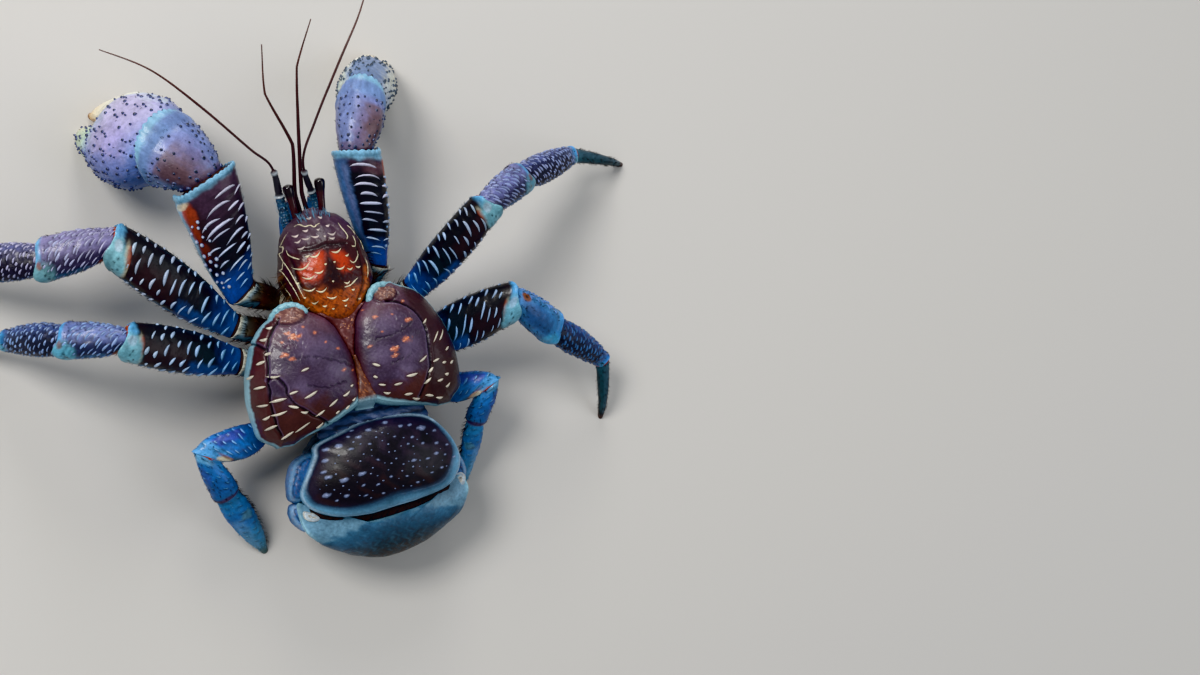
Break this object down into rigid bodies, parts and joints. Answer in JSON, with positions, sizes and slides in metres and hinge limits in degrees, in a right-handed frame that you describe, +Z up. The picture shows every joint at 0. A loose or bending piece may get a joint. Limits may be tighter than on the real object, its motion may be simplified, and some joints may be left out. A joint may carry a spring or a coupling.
{
  "type": "coconut crab",
  "caption": "Still life-size coconut crab model standing on its leg and claw tips, with domed shell plates, rounded plated abdomen, stout claws and thin feelers.",
  "frame": {"origin": "on the ground under the middle of the model's box, between the outer leg tips and between the feeler tips and the back of the abdomen", "axes": "+X to the animal's right, +Y towards its head, +Z up"},
  "size_m": [0.427, 0.3121, 0.1013],
  "materials": {
    "head_shell": "glossy shell, purple-brown with an orange rear part and pale crescent ridges",
    "body_shell": "glossy mauve-brown shell with black grooves and pale dashes",
    "abdomen_dark": "glossy near-black purple shell with blue-white spots and a pale blue rim",
    "abdomen_blue": "glossy slate-blue shell",
    "abdomen_skin": "dull soft blue-grey skin",
    "underside": "dull cream and grey shell of the breast and leg bases",
    "limb_dark": "satin near-black shell, blue at the base, with raised pale blue ridges",
    "limb_grey": "satin lavender-grey shell, blue beneath, with pale ridges",
    "limb_blue": "satin bright blue shell",
    "limb_tip": "dark teal claw tips",
    "claw_shell": "satin lavender-blue shell with black-tipped tubercles and pale fingers",
    "feeler": "thin red-brown feelers with blue bases",
    "eye": "wet-looking dark red eyes on short stalks"
  },
  "bodies": {
    "root": {"head_shield": "head_shell", "gill_cover_left": "body_shell", "gill_cover_right": "body_shell", "heart_plate": "head_shell", "thorax_under": "underside", "abdomen_core": "abdomen_skin", "tergite_1": "abdomen_blue", "tergite_2": "abdomen_dark", "tergite_3": "abdomen_blue", "tergite_4": "abdomen_blue", "tail_fan": "abdomen_blue", "pleuron_left_front": "abdomen_blue", "pleuron_left_rear": "abdomen_blue", "pleuron_right_rear": "abdomen_blue", "eye_left": "eye", "eye_right": "eye", "antennule_left": "feeler", "antennule_right": "feeler", "antenna_left": "feeler", "antenna_right": "feeler", "maxilliped_left": "limb_blue", "maxilliped_right": "limb_blue", "claw_left_ischium": "underside", "claw_left_merus": "limb_dark", "claw_left_carpus": "claw_shell", "claw_left_palm": "claw_shell", "claw_left_finger": "claw_shell", "claw_right_ischium": "underside", "claw_right_merus": "limb_dark", "claw_right_carpus": "claw_shell", "claw_right_palm": "claw_shell", "claw_right_finger": "claw_shell", "walk1_left_ischium": "underside", "walk1_left_merus": "limb_dark", "walk1_left_carpus": "limb_grey", "walk1_left_propodus": "limb_grey", "walk1_left_dactyl": "limb_tip", "walk2_left_ischium": "underside", "walk2_left_merus": "limb_dark", "walk2_left_carpus": "limb_grey", "walk2_left_propodus": "limb_grey", "walk2_left_dactyl": "limb_tip", "walk1_right_ischium": "underside", "walk1_right_merus": "limb_dark", "walk1_right_carpus": "limb_grey", "walk1_right_propodus": "limb_grey", "walk1_right_dactyl": "limb_tip", "walk2_right_ischium": "underside", "walk2_right_merus": "limb_dark", "walk2_right_carpus": "limb_grey", "walk2_right_propodus": "limb_grey", "walk2_right_dactyl": "limb_tip", "small_left_ischium": "underside", "small_left_merus": "limb_blue", "small_left_carpus": "limb_blue", "small_left_hand": "limb_blue", "small_right_ischium": "underside", "small_right_merus": "limb_blue", "small_right_carpus": "limb_blue", "small_right_hand": "limb_blue"}
  },
  "joints": []
}
